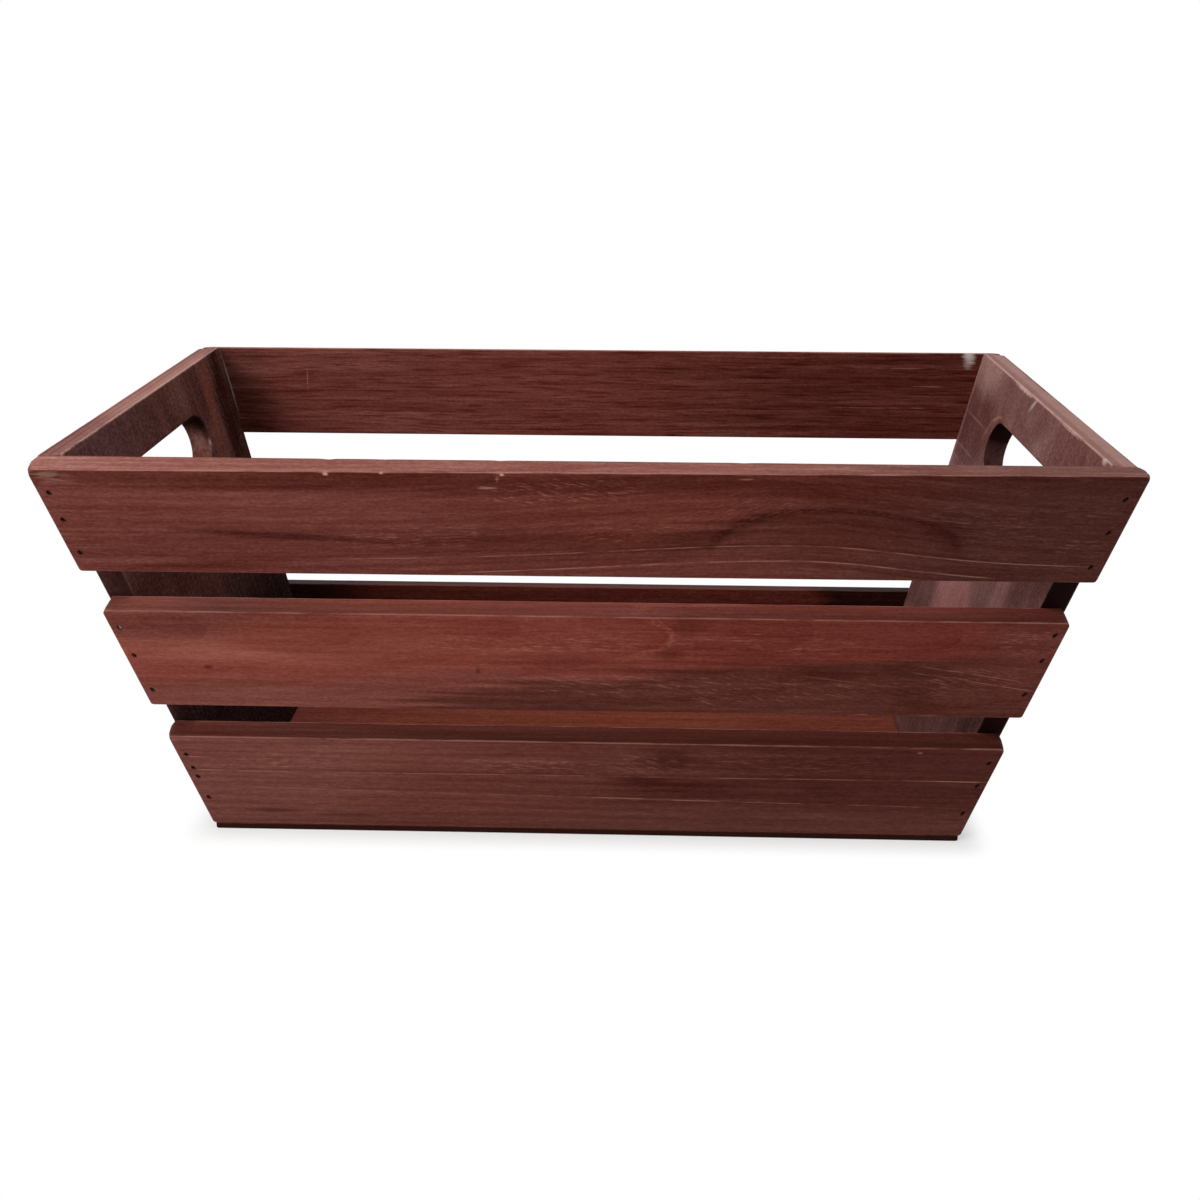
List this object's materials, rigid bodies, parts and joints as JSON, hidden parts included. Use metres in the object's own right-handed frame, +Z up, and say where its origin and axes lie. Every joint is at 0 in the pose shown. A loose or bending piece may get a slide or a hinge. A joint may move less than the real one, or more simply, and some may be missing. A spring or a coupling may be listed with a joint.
{
  "type": "slatted wooden crate",
  "caption": "Open-topped slatted wooden crate, splayed out on every side, with a round-ended hand slot in each solid end panel and a thin base; holds and carries goods.",
  "frame": {"origin": "middle of the base panel's underside, on the surface that the crate stands on", "axes": "+X along the crate to its right end, +Y from the front to the back, +Z up"},
  "size_m": [0.4596, 0.2508, 0.1937],
  "materials": {
    "slats": "dark red-brown stain, satin, worn along the edges",
    "ends": "dark red-brown stain, satin, scuffed on the inside",
    "base": "thin plywood with the same stain, a little redder",
    "nails": "dull dark steel, sunk below the wood"
  },
  "bodies": {
    "root": {"back_slat_bottom": "slats", "back_slat_middle": "slats", "back_slat_top": "slats", "base_panel": "base", "end_panel_left": "ends", "end_panel_right": "ends", "front_slat_bottom": "slats", "front_slat_middle": "slats", "front_slat_top": "slats", "nail_back_bottom_left_1": "nails", "nail_back_bottom_left_2": "nails", "nail_back_bottom_left_3": "nails", "nail_back_bottom_right_1": "nails", "nail_back_bottom_right_2": "nails", "nail_back_bottom_right_3": "nails", "nail_back_middle_left_1": "nails", "nail_back_middle_left_2": "nails", "nail_back_middle_left_3": "nails", "nail_back_middle_right_1": "nails", "nail_back_middle_right_2": "nails", "nail_back_middle_right_3": "nails", "nail_back_top_left_1": "nails", "nail_back_top_left_2": "nails", "nail_back_top_left_3": "nails", "nail_back_top_right_1": "nails", "nail_back_top_right_2": "nails", "nail_back_top_right_3": "nails", "nail_base_back_1": "nails", "nail_base_back_2": "nails", "nail_base_back_3": "nails", "nail_base_back_4": "nails", "nail_base_front_1": "nails", "nail_base_front_2": "nails", "nail_base_front_3": "nails", "nail_base_front_4": "nails", "nail_base_left_1": "nails", "nail_base_left_2": "nails", "nail_base_left_3": "nails", "nail_base_right_1": "nails", "nail_base_right_2": "nails", "nail_base_right_3": "nails", "nail_front_bottom_left_1": "nails", "nail_front_bottom_left_2": "nails", "nail_front_bottom_left_3": "nails", "nail_front_bottom_left_4": "nails", "nail_front_bottom_right_1": "nails", "nail_front_bottom_right_2": "nails", "nail_front_bottom_right_3": "nails", "nail_front_middle_left_1": "nails", "nail_front_middle_left_2": "nails", "nail_front_middle_left_3": "nails", "nail_front_middle_right_1": "nails", "nail_front_middle_right_2": "nails", "nail_front_middle_right_3": "nails", "nail_front_top_left_1": "nails", "nail_front_top_left_2": "nails", "nail_front_top_left_3": "nails", "nail_front_top_right_1": "nails", "nail_front_top_right_2": "nails", "nail_front_top_right_3": "nails"}
  },
  "joints": []
}
